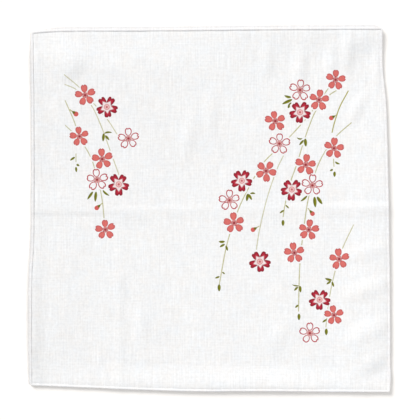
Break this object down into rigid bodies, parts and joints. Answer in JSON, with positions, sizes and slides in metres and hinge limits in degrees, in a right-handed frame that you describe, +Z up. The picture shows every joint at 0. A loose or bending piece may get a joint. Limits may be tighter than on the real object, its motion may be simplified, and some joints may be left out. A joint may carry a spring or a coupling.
{
  "type": "printed gauze handkerchief laid flat",
  "caption": "Square white gauze handkerchief with a rolled hem, lying open with soft fold creases, printed with weeping cherry sprays.",
  "frame": {"origin": "middle of the cloth's outline, on the surface that it lies on", "axes": "+Z up out of the printed face, +X to the right and +Y away from the viewer as the cloth is looked down on"},
  "size_m": [0.3517, 0.356, 0.0055],
  "materials": {
    "white_gauze": "matt washed cotton gauze, printed with salmon, crimson and olive dye"
  },
  "bodies": {
    "root": {"handkerchief": "white_gauze"}
  },
  "joints": []
}
